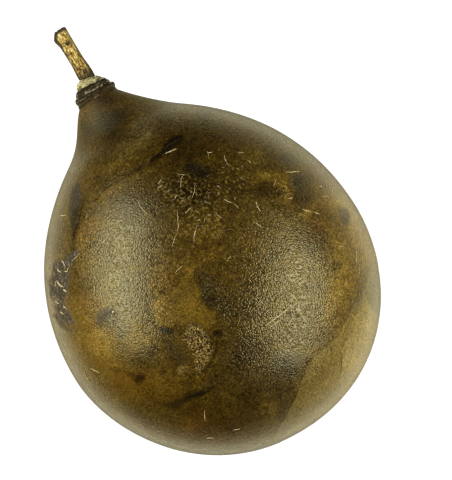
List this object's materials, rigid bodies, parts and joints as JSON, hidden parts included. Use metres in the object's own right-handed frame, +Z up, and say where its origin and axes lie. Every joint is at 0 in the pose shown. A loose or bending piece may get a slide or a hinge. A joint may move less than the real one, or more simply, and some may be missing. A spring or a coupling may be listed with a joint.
{
  "type": "dried bottle gourd",
  "caption": "Round-bulbed dried bottle gourd with a short tapering neck, a rolled rim, a corky cushion and a cut woody stem, lying on its side.",
  "frame": {"origin": "centre of the flat resting spot on the underside, straight below the widest section of the bulb", "axes": "+Y along the gourd from the blossom end towards the stem, +Z up, +X to the right when the stem points away"},
  "size_m": [0.1576, 0.224, 0.1525],
  "materials": {
    "rind": "satin, mottled olive and brown dried rind",
    "rim_bark": "matt, dark shrivelled tissue",
    "cork": "matt, pale corky tissue",
    "stem_wood": "matt, fibrous dried stem"
  },
  "bodies": {
    "root": {"fruit": "rind", "rim": "rim_bark", "cushion": "cork", "stem": "stem_wood"}
  },
  "joints": []
}
